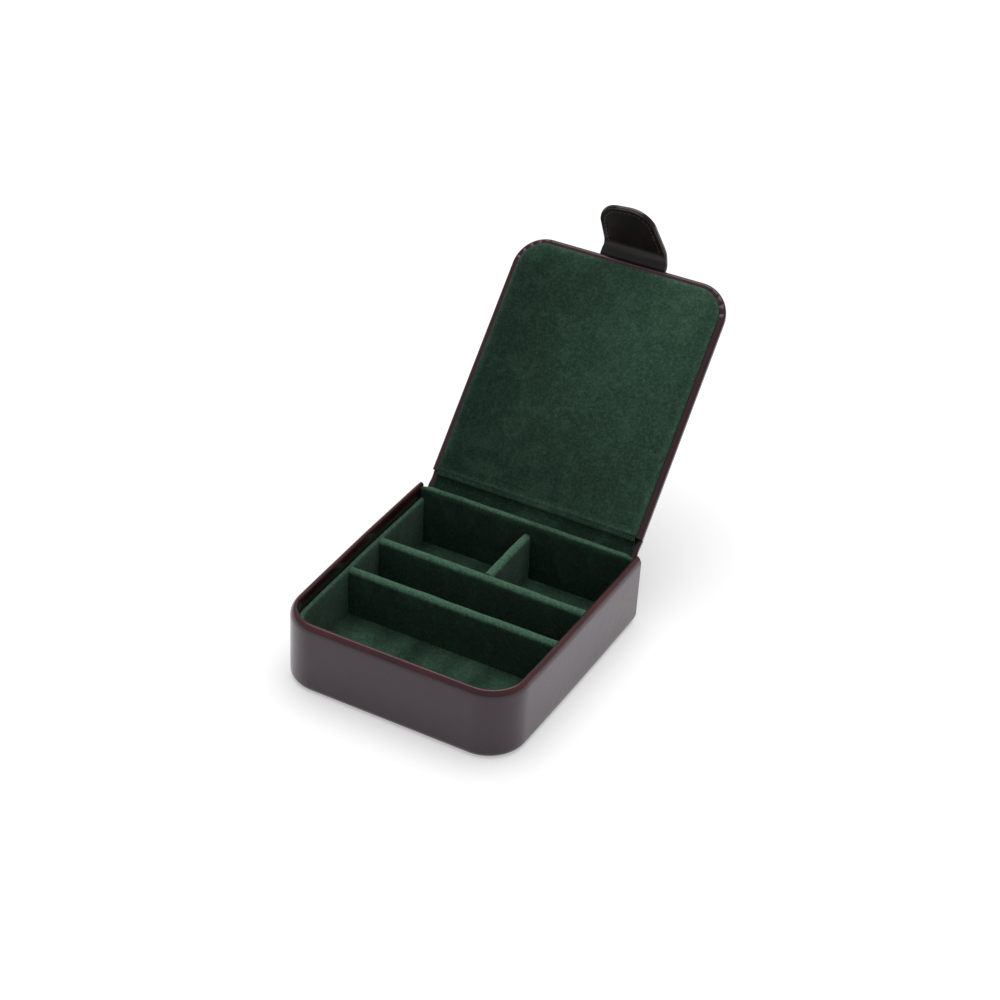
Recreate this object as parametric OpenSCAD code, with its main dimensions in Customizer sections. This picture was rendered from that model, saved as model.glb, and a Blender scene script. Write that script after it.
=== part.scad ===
// Leather display box for cufflinks: a suede-lined tray, a padded lid on a two-fold
// leather spine, and a curled closing tab with a hidden magnet.
// Drawn open, at rest. Origin: centre of the flat underside. +X right, +Y to the hinge, +Z up.

/* [Tray] */
// Width of the tray across its front
front_w = 100; // [80:1:140]
// Extra width of the tray at the hinge side, both sides together
rear_flare = 3; // [0:0.5:5]
// Depth of the tray from the front face to the hinge side
tray_d = 109; // [90:1:140]
// Height of the leather rim above the underside
tray_h = 31; // [27:1:42]
// Corner radius of the two front corners
corner_r = 16; // [12:1:20]
// Rounding of the lower edge
base_edge_r = 3; // [2.5:0.5:4]
// Outer roll radius of the rim
rim_roll_r = 4.5; // [4:0.25:5.5]
// Inner roll radius of the rim
rim_crest_r = 1; // [0.8:0.1:1.2]

/* [Boards] */
// Thickness of the bent wall board
wall_board_t = 1.2; // [1:0.1:1.6]
// Thickness of the base board
base_board_t = 1.6; // [1.2:0.1:2.4]
// Thickness of the rear wall above the fold
rear_board_t = 1.25; // [1:0.05:1.6]
// Thickness of the lid board
lid_board_t = 1.6; // [1.2:0.1:2.4]
// Thickness of the cards under the suede
card_t = 0.6; // [0.5:0.1:0.9]

/* [Leather] */
// Thickness of the outer leather
leather_t = 1.1; // [0.9:0.05:1.3]
// Thickness of the leather where it is pared and turned in
turn_t = 0.7; // [0.5:0.05:0.8]
// How far the leather turns in under the base
base_turn_in = 11; // [8:0.5:11.5]
// How far the leather turns down inside the rim
rim_turn_in = 10; // [7:0.5:12]

/* [Suede lining] */
// Thickness of the suede
suede_t = 0.6; // [0.5:0.05:0.8]
// Height of the lining and of the dividers above the underside
lining_h = 25.3; // [21:0.1:25.5]
// Gap between the wall and the lining behind it
lining_gap = 0.1; // [0.05:0.05:0.2]
// How far the suede turns down behind the lining card
lining_turn_down = 7; // [4:0.5:9]

/* [Dividers] */
// Thickness of a covered divider
divider_t = 3.8; // [3:0.1:5]
// Place of the front divider along the depth
front_divider_y = -5.9; // [-12:0.1:-2]
// Place of the rear divider along the depth
rear_divider_y = 17.6; // [12:0.1:24]
// Place of the short divider across the width
centre_divider_x = 1.5; // [-12:0.5:12]

/* [Hinge] */
// Drop of the lower fold below the rim
fold_drop = 7; // [6:0.5:9]
// Side margin between the spine and the tray's outline at the rear
spine_margin = 3.3; // [3.2:0.1:5]
// Clearance round the rolled end of a fold
fold_gap = 0.1; // [0.08:0.01:0.15]
// How far the spine leans back when the lid stands open
spine_open = 44; // [30:1:50]
// How far the lid has turned about the spine when it stands open
lid_open = 88; // [60:1:92]

/* [Lid] */
// Length of the lid from the upper fold to its front edge
lid_len = 108.5; // [90:0.5:140]
// Corner radius of the lid's two front corners
lid_corner_r = 14; // [12:1:18]
// Leather border left bare along the sides of the pad
side_border = 2.7; // [2:0.1:5]
// Leather border left bare in front of the pad
front_border = 2.4; // [2:0.1:5]
// How far the leather turns in under the pad
lid_turn_in = 8; // [6:0.5:10]
// Rise of the foam crown in the middle of the pad
pad_crown = 1.5; // [0.8:0.1:2]
// Width of the rounded shoulder of the pad
pad_shoulder = 11; // [8:1:14]
// Gap between the closed pad and the rim
closed_gap = 0.15; // [0.1:0.05:0.4]

/* [Tab] */
// Width of the tab where it leaves the lid
tab_root_w = 29; // [22:1:34]
// Width of the tab near its tip
tab_tip_w = 24.5; // [18:0.5:28]
// Radius of the tab's two tip corners
tab_tip_r = 10; // [6:0.5:11]
// Length of the tab from its fold to the tip
tab_len = 28.2; // [24:0.1:30]
// How far the tab's fold stands in front of the lid
tab_fold_out = 1.8; // [1.6:0.1:2.6]
// Bend radius that the tab keeps
tab_bend_r = 6; // [5:0.5:8]
// Bend that the tab keeps when it is let go
tab_bend = 67; // [50:1:75]
// Place of the tab across the lid
tab_x = 1.8; // [-3:0.1:3]
// Sideways lean of the tab
tab_lean = 6; // [-8:0.5:8]
// Thickness of the leather that lines the tab
tab_lining_t = 0.8; // [0.6:0.05:1]
// Thickness of the tab's root inside the lid, pared thin
tab_root_t = 1; // [0.8:0.1:1.2]
// How far the tab's root reaches back into the lid
tab_root_in = 14; // [8:1:20]

/* [Magnets] */
// Diameter of each magnet
magnet_d = 10; // [8:0.5:12]
// Thickness of the magnet in the tab
tab_magnet_t = 1; // [0.8:0.1:1.2]
// Height of the wall magnet's centre above the underside
wall_magnet_z = 14.5; // [12:0.5:17]
// Gap round a magnet in its pocket
magnet_gap = 0.1; // [0.05:0.05:0.2]

/* [Hidden] */

leather_brown = [0.20, 0.12, 0.12];
turned_brown = [0.30, 0.17, 0.15];
suede_green = [0.13, 0.30, 0.20];
board_grey = [0.62, 0.60, 0.56];
card_white = [0.86, 0.84, 0.79];
foam_cream = [0.93, 0.91, 0.84];
magnet_steel = [0.72, 0.73, 0.75];

$fn = 96;
arc_steps = 6;
corner_steps = 10;
far = 300;

// Tray plan: the sides open by flare_a, and the front corners are tangent to front and sides.
front_y = -tray_d / 2;
rear_y = tray_d / 2;
flare_a = atan(rear_flare / 2 / tray_d);
corner_x = front_w / 2 - corner_r * (1 - sin(flare_a)) / cos(flare_a);
corner_y = front_y + corner_r;

// Depth of each layer, measured inwards from the outer face.
wall_t = leather_t + wall_board_t + turn_t;
lining_back = wall_t + lining_gap;
lining_card_back = lining_back + suede_t;
lining_face = lining_card_back + card_t + suede_t;

// Levels, measured up from the underside.
base_z = leather_t;
floor_card_z = base_z + base_board_t;
floor_suede_z = floor_card_z + card_t;
floor_z = floor_suede_z + suede_t;

// Rim roll: a large outer arc and a small crest arc, tangent to each other.
crest_x = wall_t - rim_crest_r;
crest_z = tray_h - rim_crest_r;
roll_a = acos((rim_roll_r - crest_x) / (rim_roll_r - rim_crest_r));
roll_z = crest_z - (rim_roll_r - rim_crest_r) * sin(roll_a);
board_roll_r = rim_roll_r - leather_t;
board_top_x = wall_t - turn_t;
board_roll_a = acos((rim_roll_r - board_top_x) / board_roll_r);

// Rear wall layers, from the outside to the inside, and its levels.
fold_z = tray_h - fold_drop;
rear_top_z = tray_h - closed_gap;
rear_leather_y = rear_y - leather_t;
spine_suede_y = rear_leather_y - suede_t;
rear_lining_out_y = spine_suede_y - closed_gap;
rear_board_out_y = rear_lining_out_y - suede_t;
rear_board_in_y = rear_board_out_y - rear_board_t;
rear_lining_in_y = rear_board_in_y - suede_t;
rear_rebate_z = fold_z - 0.8;
rear_half_w = (front_w + rear_flare) / 2;

// Half width of the spine and the lid.
spine_half_w = rear_half_w - spine_margin;

// Lid layers when closed, from the pad's edge up.
pad_edge_t = card_t + suede_t;
border_z = tray_h + closed_gap + pad_edge_t;
lid_board_z = border_z + turn_t;
lid_skin_z = lid_board_z + lid_board_t;
lid_top_z = lid_skin_z + leather_t;

// Fold axes: mid-thickness of the leather.
fold_r = leather_t / 2;
fold_y = rear_y - fold_r;
upper_fold_z = lid_top_z - fold_r;
lid_front_y = fold_y - lid_len;
lid_stack_rear_y = spine_suede_y - 0.35;
pad_half_w = spine_half_w - side_border;
pad_front_y = lid_front_y + front_border;
pad_corner_r = lid_corner_r - side_border;

// Tab fold axis, in the closed lid.
tab_t = leather_t + tab_lining_t;
tab_fold_r = tab_t / 2;
tab_fold_y = lid_front_y - tab_fold_out;
tab_fold_z = lid_skin_z - tab_root_t / 2;
tab_straight = tab_len - tab_bend_r * tab_bend * PI / 180;
tab_root_y = -tab_bend_r * sin(tab_bend);
tab_magnet_s = tab_straight - tab_tip_r;

function arc(c, r, a0, a1, n = arc_steps) =
    [for (i = [0 : n]) let (a = a0 + (a1 - a0) * i / n) c + r * [cos(a), sin(a)]];

function flip_x(points) = [for (i = [len(points) - 1 : -1 : 0]) [-points[i][0], points[i][1]]];

// Right half of the tray's plan at a given inset, cut off at a given depth.
function tray_half(inset, y_end) =
    let (edge_x = front_w / 2 - inset / cos(flare_a) + (y_end - front_y) * tan(flare_a))
    concat(
        arc([corner_x, corner_y], corner_r - inset, -90, -flare_a, corner_steps),
        [[edge_x, y_end]]
    );

function tray_plan(inset, y_end) =
    let (half = tray_half(inset, y_end)) concat(half, flip_x(half));

// Plan of a lid layer: rounded front corners, square rear corners.
function lid_plan(half_w, y_front, y_back, r) =
    let (half = concat(arc([half_w - r, y_front + r], r, -90, 0), [[half_w, y_back]]))
    concat(half, flip_x(half));

// Stations round the tray's front and sides, each a point on the outer face and the way inwards.
function tray_stations(y_end) =
    let (half = concat(
        [for (i = [0 : corner_steps]) let (a = -90 + (90 - flare_a) * i / corner_steps)
            [[corner_x + corner_r * cos(a), corner_y + corner_r * sin(a)], [-cos(a), -sin(a)]]],
        [[[front_w / 2 + (y_end - front_y) * tan(flare_a), y_end], [-1 / cos(flare_a), 0]]]
    ))
    concat(
        [for (i = [len(half) - 1 : -1 : 0]) [for (v = half[i]) [-v[0], v[1]]]],
        half
    );

// Sweeps a wall section along those stations, up to a given depth at the hinge side.
// A section lists [depth inwards, height] clockwise, up its outer side first.
module tray_sweep(section, y_end) {
    stations = tray_stations(y_end);
    n = len(section);
    last = len(stations) - 1;
    points = [for (s = stations, p = section)
        [s[0][0] + p[0] * s[1][0], s[0][1] + p[0] * s[1][1], p[1]]];
    sides = [for (i = [0 : last - 1], j = [0 : n - 1])
        let (a = i * n + j, b = i * n + (j + 1) % n)
        each [[a, b, b + n], [a, b + n, a + n]]];
    polyhedron(points, concat(
        [[for (j = [n - 1 : -1 : 0]) j]], sides, [[for (j = [0 : n - 1]) last * n + j]]
    ));
}

// Sweeps an edge section round the lid's front and sides, in the closed lid.
module lid_sweep(y_end) {
    r = lid_corner_r;
    cx = spine_half_w - r;
    cy = lid_front_y + r;
    translate([cx, lid_front_y, 0]) rotate([90, 0, -90]) linear_extrude(2 * cx) children();
    for (side = [0, 1]) mirror([side, 0, 0]) {
        translate([cx, cy, 0]) rotate_extrude(angle = 90, start = -90)
            translate([r, 0]) children();
        translate([spine_half_w, y_end, 0]) rotate([90, 0, 0])
            linear_extrude(y_end - cy) children();
    }
}

// Section with square feet and a fully rounded top, standing on the x axis.
module arch_2d(t, h) {
    polygon(concat([[-t / 2, 0], [t / 2, 0]], arc([0, h - t / 2], t / 2, 0, 180, 12)));
}

// Turns closed-lid pieces into the open position.
module on_spine() {
    translate([0, fold_y, fold_z]) rotate([-spine_open, 0, 0])
        translate([0, -fold_y, -fold_z]) children();
}

module on_lid() {
    on_spine() translate([0, fold_y, upper_fold_z]) rotate([-lid_open, 0, 0])
        translate([0, -fold_y, -upper_fold_z]) children();
}

// Tray walls

board_foot_a = acos((base_edge_r - board_top_x) / (base_edge_r - leather_t));

wall_board_section = concat(
    arc([base_edge_r, base_edge_r], base_edge_r - leather_t, 180 + board_foot_a, 180),
    arc([rim_roll_r, roll_z], board_roll_r, 180, 180 - board_roll_a)
);

wall_leather_section = concat(
    [[base_turn_in, 0]],
    arc([base_edge_r, base_edge_r], base_edge_r, 270, 180),
    arc([rim_roll_r, roll_z], rim_roll_r, 180, 180 - roll_a),
    arc([crest_x, crest_z], rim_crest_r, 180 - roll_a, 0),
    [[wall_t, tray_h - rim_turn_in], [board_top_x, tray_h - rim_turn_in]],
    arc([rim_roll_r, roll_z], board_roll_r, 180 - board_roll_a, 180),
    arc([base_edge_r, base_edge_r], base_edge_r - leather_t, 180, 270),
    [[base_turn_in, leather_t]]
);

module wall_magnet_place(gap) {
    translate([0, front_y + leather_t - gap, wall_magnet_z])
        rotate([-90, 0, 0]) cylinder(d = magnet_d + 2 * gap, h = wall_board_t + 2 * gap);
}

module wall_board() color(board_grey) difference() {
    tray_sweep(wall_board_section, rear_leather_y);
    wall_magnet_place(magnet_gap);
}

module wall_leather() color(leather_brown) tray_sweep(wall_leather_section, rear_leather_y);

module wall_magnet() color(magnet_steel) wall_magnet_place(0);

module base_board() color(board_grey) {
    translate([0, 0, base_z]) linear_extrude(0.4)
        polygon(tray_plan(base_edge_r + 0.1, rear_y - base_edge_r - 0.1));
    translate([0, 0, base_z + 0.4]) linear_extrude(base_board_t - 0.4)
        polygon(tray_plan(board_top_x, rear_y - board_top_x));
}

module underside_panel() color(leather_brown) linear_extrude(leather_t)
    polygon(tray_plan(base_turn_in + 0.3, rear_y - base_turn_in - 0.3));

// Rear wall: a rebated board, with the hinge leather glued to its lower part.
module rear_wall_board() color(board_grey) intersection() {
    translate([-far, 0, 0]) rotate([90, 0, 90]) linear_extrude(2 * far) polygon(concat(
        [[rear_board_in_y, floor_card_z], [rear_leather_y, floor_card_z],
         [rear_leather_y, rear_rebate_z], [rear_board_out_y, rear_rebate_z]],
        arc([(rear_board_in_y + rear_board_out_y) / 2, rear_top_z - suede_t - rear_board_t / 2],
            rear_board_t / 2, 0, 180)
    ));
    linear_extrude(far) polygon(tray_plan(wall_t, rear_y));
}

// Side view of the rear leather: turned under the base, up the wall to the rim's height.
module rear_leather_side_2d() {
    polygon(concat(
        [[rear_y - base_turn_in, 0]],
        arc([rear_y - base_edge_r, base_edge_r], base_edge_r, -90, 0),
        [[rear_y, tray_h], [rear_leather_y, tray_h], [rear_leather_y, base_edge_r]],
        arc([rear_y - base_edge_r, base_edge_r], base_edge_r - leather_t, 0, -90),
        [[rear_y - base_turn_in, leather_t]]
    ));
}

// Back view of the tray: rounded lower corners, and the rim's roll at the two upper ones.
module rear_outline_2d() {
    half = concat(
        arc([rear_half_w - base_edge_r, base_edge_r], base_edge_r, -90, 0),
        arc([rear_half_w - rim_roll_r, roll_z], rim_roll_r, 0, roll_a),
        arc([rear_half_w - crest_x, crest_z], rim_crest_r, roll_a, 180),
        [[rear_half_w - wall_t, fold_z]]
    );
    polygon(concat(half, flip_x(half)));
}

module rear_leather() color(leather_brown) difference() {
    intersection() {
        translate([-far, 0, 0]) rotate([90, 0, 90]) linear_extrude(2 * far) rear_leather_side_2d();
        translate([0, rear_y + 1, 0]) rotate([90, 0, 0]) linear_extrude(far) rear_outline_2d();
    }
    translate([wall_t - rear_half_w, fold_y, fold_z]) rotate([0, 90, 0])
        cylinder(r = fold_r + fold_gap, h = 2 * (rear_half_w - wall_t));
    for (side = [0, 1]) mirror([side, 0, 0])
        translate([front_w / 2 - base_turn_in - 0.3, rear_leather_y - far, -1])
            cube([far, far, far]);
}

// Lining

lining_mid = (lining_back + lining_face) / 2;
lining_r = (lining_face - lining_back) / 2;
lining_card_top = [lining_mid, lining_h - suede_t - card_t / 2];

// Suede over the card: down to the base inside, turned down a little way behind.
wall_lining_section = concat(
    [[lining_back, lining_h - lining_turn_down]],
    arc([lining_mid, lining_h - lining_r], lining_r, 180, 0),
    [[lining_face, floor_card_z], [lining_face - suede_t, floor_card_z]],
    arc(lining_card_top, card_t / 2, 0, 180),
    [[lining_card_back, lining_h - lining_turn_down]]
);

wall_card_section = concat(
    [[lining_card_back, floor_card_z]],
    arc(lining_card_top, card_t / 2, 180, 0),
    [[lining_face - suede_t, floor_card_z]]
);

module wall_lining_suede() color(suede_green) tray_sweep(wall_lining_section, rear_lining_in_y);

module wall_lining_card() color(card_white) tray_sweep(wall_card_section, rear_lining_in_y);

module rear_lining_suede() color(suede_green) intersection() {
    translate([-far, (rear_lining_in_y + rear_lining_out_y) / 2, floor_card_z])
        rotate([90, 0, 90]) linear_extrude(2 * far) difference() {
            arch_2d(rear_lining_out_y - rear_lining_in_y, rear_top_z - floor_card_z);
            translate([0, -0.01]) arch_2d(rear_board_t, rear_top_z - floor_card_z - suede_t + 0.01);
            translate([rear_board_t / 2 - 0.01, -0.01])
                square([far, fold_z + 0.6 - floor_card_z]);
        }
    linear_extrude(far) polygon(tray_plan(wall_t, rear_y));
}

module floor_card() color(card_white) translate([0, 0, floor_card_z])
    linear_extrude(card_t) polygon(tray_plan(lining_face, rear_lining_in_y));

module floor_suede() color(suede_green) translate([0, 0, floor_suede_z])
    linear_extrude(suede_t) polygon(tray_plan(lining_face, rear_lining_in_y));

// Dividers: two cards glued back to back, wrapped in suede, standing on the floor.

divider_h = lining_h - floor_z;
divider_core_t = divider_t - 2 * suede_t;

module divider_core_2d() arch_2d(divider_core_t, divider_h - suede_t);

module divider_suede_2d() difference() {
    arch_2d(divider_t, divider_h);
    translate([0, -0.01]) arch_2d(divider_core_t, divider_h - suede_t + 0.01);
}

module long_divider(y) intersection() {
    translate([-far, y, floor_z]) rotate([90, 0, 90]) linear_extrude(2 * far) children();
    linear_extrude(far) polygon(tray_plan(lining_face, rear_lining_in_y));
}

module short_divider() {
    start = rear_divider_y + divider_t / 2;
    translate([centre_divider_x, rear_lining_in_y, floor_z])
        rotate([90, 0, 0]) linear_extrude(rear_lining_in_y - start) children();
}

module front_divider_core() color(card_white) long_divider(front_divider_y) divider_core_2d();

module front_divider_suede() color(suede_green) long_divider(front_divider_y) divider_suede_2d();

module rear_divider_core() color(card_white) long_divider(rear_divider_y) divider_core_2d();

module rear_divider_suede() color(suede_green) long_divider(rear_divider_y) divider_suede_2d();

module centre_divider_core() color(card_white) short_divider() divider_core_2d();

module centre_divider_suede() color(suede_green) short_divider() divider_suede_2d();

// Spine

module spine_leather() color(leather_brown) on_spine() {
    translate([-spine_half_w, rear_leather_y, fold_z])
        cube([2 * spine_half_w, leather_t, upper_fold_z - fold_z]);
    for (z = [fold_z, upper_fold_z]) translate([-spine_half_w, fold_y, z])
        rotate([0, 90, 0]) cylinder(r = fold_r, h = 2 * spine_half_w);
}

module spine_suede() color(suede_green) on_spine()
    translate([-pad_half_w, spine_suede_y, fold_z + 0.3])
        cube([2 * pad_half_w, suede_t, upper_fold_z - fold_z - 1]);

// Lid

// Rounding of the lid's covered edge, outside and on the pad's side.
edge_top_r = 1.5;
edge_low_r = 1.3;

module lid_leather_2d() difference() {
    polygon(concat(
        [[-lid_turn_in, border_z]],
        arc([-edge_low_r, border_z + edge_low_r], edge_low_r, -90, 0, 6),
        arc([-edge_top_r, lid_top_z - edge_top_r], edge_top_r, 0, 90, 6),
        [[-lid_turn_in, lid_top_z]]
    ));
    translate([-far, lid_board_z]) square([far - leather_t, lid_board_t]);
}

module lid_leather() color(leather_brown) on_lid() difference() {
    union() {
        lid_sweep(fold_y) lid_leather_2d();
        translate([0, 0, lid_skin_z]) linear_extrude(leather_t) polygon(lid_plan(
            spine_half_w - lid_turn_in + 1, lid_front_y + lid_turn_in - 1, fold_y,
            lid_corner_r - lid_turn_in + 1));
    }
    translate([-far, fold_y, upper_fold_z]) rotate([0, 90, 0])
        cylinder(r = fold_r + fold_gap, h = 2 * far);
    translate([-far, rear_leather_y - fold_gap, border_z - 1])
        cube([2 * far, far, upper_fold_z - border_z + 1]);
    translate([-far, lid_stack_rear_y, border_z - 1]) cube([2 * far, far, lid_skin_z - border_z + 1]);
    tab_slot();
}

module lid_board() color(board_grey) on_lid() difference() {
    translate([0, 0, lid_board_z]) linear_extrude(lid_board_t) polygon(lid_plan(
        spine_half_w - leather_t, lid_front_y + leather_t, lid_stack_rear_y,
        lid_corner_r - leather_t));
    tab_slot();
}

module lid_infill_card() color(card_white) on_lid()
    translate([0, 0, border_z]) linear_extrude(turn_t) polygon(lid_plan(
        spine_half_w - lid_turn_in - 0.2, lid_front_y + lid_turn_in + 0.2, lid_stack_rear_y,
        lid_corner_r - lid_turn_in - 0.2));

// Plan of the pad, drawn in from its edge. The crown keeps in front of the rear wall.
module pad_2d(inset, y_back) polygon(lid_plan(
    pad_half_w - inset, pad_front_y + inset, y_back, max(pad_corner_r - inset, 1)));

// Crowned solid under the card: shoulder steps follow a quarter of an ellipse.
module pad_crown_solid(depth, crown, inset) {
    steps = 7;
    hull() for (i = [0 : steps]) {
        a = 90 * i / steps;
        step_in = pad_shoulder * (1 - cos(a));
        translate([0, 0, border_z - depth - crown * sin(a)]) linear_extrude(depth / 2)
            pad_2d(inset + step_in, (i == 0 ? lid_stack_rear_y : rear_lining_in_y - 0.3 - step_in) - inset);
    }
}

module lid_pad_card() color(card_white) on_lid()
    translate([0, 0, border_z - card_t]) linear_extrude(card_t)
        pad_2d(suede_t, lid_stack_rear_y - suede_t);

module lid_pad_foam() color(foam_cream) on_lid() intersection() {
    pad_crown_solid(card_t, pad_crown, suede_t);
    translate([-far, -far, border_z - 10]) cube([2 * far, 2 * far, 10 - card_t]);
}

module lid_pad_suede() color(suede_green) on_lid() difference() {
    pad_crown_solid(pad_edge_t, pad_crown, 0);
    pad_crown_solid(card_t, pad_crown, suede_t);
    translate([0, 0, border_z - card_t]) linear_extrude(2 * card_t)
        pad_2d(suede_t, lid_stack_rear_y - suede_t);
}

// Tab: a root glued into the lid, and a tongue that swings on the fold in front of it.

module tab_root() color(turned_brown) on_lid() difference() {
    union() {
        translate([tab_x - tab_root_w / 2, lid_front_y - 0.1, lid_skin_z - tab_root_t])
            cube([tab_root_w, tab_root_in, tab_root_t]);
        translate([tab_x - tab_root_w / 2, tab_fold_y, tab_fold_z - tab_fold_r])
            cube([tab_root_w, tab_fold_out - 0.1, tab_t]);
    }
    translate([-far, tab_fold_y, tab_fold_z]) rotate([0, 90, 0])
        cylinder(r = tab_fold_r + 2 * fold_gap, h = 2 * far);
}

// Slot for the tab's root in the lid's board and leather.
module tab_slot() {
    translate([tab_x - tab_root_w / 2 - 0.1, lid_front_y - 1, lid_skin_z - tab_root_t - 0.02])
        cube([tab_root_w + 0.2, tab_root_in + 1, tab_root_t + 0.02]);
}

// Side view of one layer of the tab: the kept bend, then the straight tongue.
// x points away from the lid, y to the inner side, and d is the depth from the mid line.
module tab_side_2d(d0, d1) {
    centre = [0, tab_bend_r];
    end = centre + tab_straight * [cos(tab_bend), sin(tab_bend)];
    inward = [-sin(tab_bend), cos(tab_bend)];
    polygon(concat(
        arc(centre, tab_bend_r - d0, -90, tab_bend - 90, 10),
        [end - (tab_bend_r - d0) * inward, end - (tab_bend_r - d1) * inward],
        arc(centre, tab_bend_r - d1, tab_bend - 90, -90, 10)
    ));
}

// Face view of the tongue: y runs along its straight part, from the end of the bend.
module tab_face_2d() {
    half = concat(
        [[tab_root_w / 2, tab_root_y - 3], [tab_root_w / 2, tab_root_y]],
        arc([tab_tip_w / 2 - tab_tip_r, tab_straight - tab_tip_r], tab_tip_r, 0, 90)
    );
    translate([0, tab_root_y]) rotate(tab_lean) translate([0, -tab_root_y])
        polygon(concat(half, flip_x(half)));
}

module tab_place() {
    on_lid() translate([tab_x, tab_fold_y, tab_fold_z]) children();
}

// Frame on the straight part of the tongue: x across, y to the tip, z to the inner side.
module tab_face_frame() {
    translate([0, -tab_bend_r * sin(tab_bend), -tab_bend_r * (1 - cos(tab_bend))])
        rotate([180 + tab_bend, 0, 0]) children();
}

module tab_layer(d0, d1) {
    intersection() {
        translate([-tab_root_w, 0, 0]) rotate([-90, 0, -90])
            linear_extrude(2 * tab_root_w) tab_side_2d(d0, d1);
        tab_face_frame() translate([0, 0, -2 * tab_bend_r])
            linear_extrude(4 * tab_bend_r) tab_face_2d();
    }
}

module tab_magnet_place(gap) {
    tab_face_frame() translate([0, tab_root_y, 0]) rotate(tab_lean)
        translate([0, tab_magnet_s - tab_root_y, -tab_magnet_t / 2 - gap])
            cylinder(d = magnet_d + 2 * gap, h = tab_magnet_t + 2 * gap);
}

module tab_leather() color(leather_brown) tab_place() {
    difference() {
        tab_layer(-tab_fold_r, leather_t - tab_fold_r);
        tab_magnet_place(magnet_gap);
    }
    intersection() {
        translate([-tab_root_w / 2, 0, 0]) rotate([0, 90, 0])
            cylinder(r = tab_fold_r, h = tab_root_w);
        translate([-far, -0.05, -far]) cube(2 * far);
    }
}

module tab_lining() color(turned_brown) tab_place() difference() {
    tab_layer(leather_t - tab_fold_r, tab_fold_r);
    tab_magnet_place(magnet_gap);
    translate([-far, -0.05, -far]) cube(2 * far);
}

module tab_magnet() color(magnet_steel) tab_place() tab_magnet_place(0);

base_board();
wall_board();
rear_wall_board();
wall_leather();
rear_leather();
underside_panel();
floor_card();
floor_suede();
wall_lining_card();
wall_lining_suede();
rear_lining_suede();
front_divider_core();
front_divider_suede();
rear_divider_core();
rear_divider_suede();
centre_divider_core();
centre_divider_suede();
wall_magnet();
spine_leather();
spine_suede();
lid_board();
lid_leather();
lid_infill_card();
lid_pad_card();
lid_pad_foam();
lid_pad_suede();
tab_root();
tab_leather();
tab_lining();
tab_magnet();
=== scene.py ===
import math

import bpy
import numpy as np
from bpy.props import FloatProperty, FloatVectorProperty, PointerProperty
from mathutils import Matrix, Vector


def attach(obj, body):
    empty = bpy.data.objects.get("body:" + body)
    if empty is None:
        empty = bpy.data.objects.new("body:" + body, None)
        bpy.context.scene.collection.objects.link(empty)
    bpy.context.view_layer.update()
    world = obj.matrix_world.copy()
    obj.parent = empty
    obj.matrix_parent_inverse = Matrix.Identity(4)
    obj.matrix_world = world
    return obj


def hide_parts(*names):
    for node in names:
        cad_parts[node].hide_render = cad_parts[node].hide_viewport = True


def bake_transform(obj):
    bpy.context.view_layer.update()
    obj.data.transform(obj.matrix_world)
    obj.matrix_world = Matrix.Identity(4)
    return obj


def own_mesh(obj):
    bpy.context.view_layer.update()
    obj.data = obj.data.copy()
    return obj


bl_info = {
    "name": "Leather display box",
    "version": (1, 0, 0),
    "blender": (4, 5, 0),
    "location": "View3D > Sidebar > Box",
    "description": "Dresses the packed display box in leather and suede",
    "category": "Object",
}

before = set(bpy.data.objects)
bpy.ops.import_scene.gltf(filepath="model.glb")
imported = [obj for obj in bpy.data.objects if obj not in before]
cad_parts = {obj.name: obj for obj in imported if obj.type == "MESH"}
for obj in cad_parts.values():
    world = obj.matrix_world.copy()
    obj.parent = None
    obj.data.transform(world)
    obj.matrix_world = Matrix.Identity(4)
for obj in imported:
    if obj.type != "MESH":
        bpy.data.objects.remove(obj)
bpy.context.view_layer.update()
MM = 0.001


def length(name, default_mm, description):
    """A size in millimetres as a property in metres."""
    return FloatProperty(
        name=name, description=description, default=default_mm * MM, unit="LENGTH", precision=5
    )


def colour(name, default, description):
    return FloatVectorProperty(
        name=name, description=description, default=default, size=3, subtype="COLOR", min=0, max=1
    )


class BoxTray(bpy.types.PropertyGroup):
    """Sizes of the tray."""

    front_w: length("Front width", 100, "Width of the tray across its front")
    rear_flare: length("Rear flare", 3, "Extra width at the hinge side, both sides together")
    depth: length("Depth", 109, "Depth of the tray from the front to the hinge side")
    height: length("Height", 31, "Height of the rim above the underside")
    corner_r: length("Corner radius", 16, "Radius of the two front corners")
    base_edge_r: length("Base rounding", 3, "Rounding of the lower edge")
    rim_roll_r: length("Rim roll", 4.5, "Outer roll radius of the rim")
    rim_crest_r: length("Rim crest", 1, "Inner roll radius of the rim")
    side_bow: length("Side bow", 0.45, "How far the long sides bow outwards")
    lining_h: length("Lining height", 25.3, "Height of the lining and of the dividers")
    divider_t: length("Divider thickness", 3.8, "Thickness of a covered divider")


class BoxLid(bpy.types.PropertyGroup):
    """Sizes of the lid, its pad and its tab."""

    half_w: length("Half width", 48.2, "Half the width of the lid and the spine")
    front_y: length("Front edge", -54.55, "Place of the closed lid's front edge")
    corner_r: length("Corner radius", 14, "Radius of the lid's two front corners")
    pad_half_w: length("Pad half width", 45.5, "Half the width of the pad")
    pad_crown: length("Pad crown", 1.5, "Rise of the pad in its middle")
    tab_len: length("Tab length", 27.6, "Length of the tab from its fold to the tip")
    tab_root_w: length("Tab root width", 29, "Width of the tab where it leaves the lid")
    tab_tip_w: length("Tab tip width", 25.4, "Width of the tab near its tip")
    stitch: length("Stitch length", 1.6, "Length of one stitch on the tab")


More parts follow.
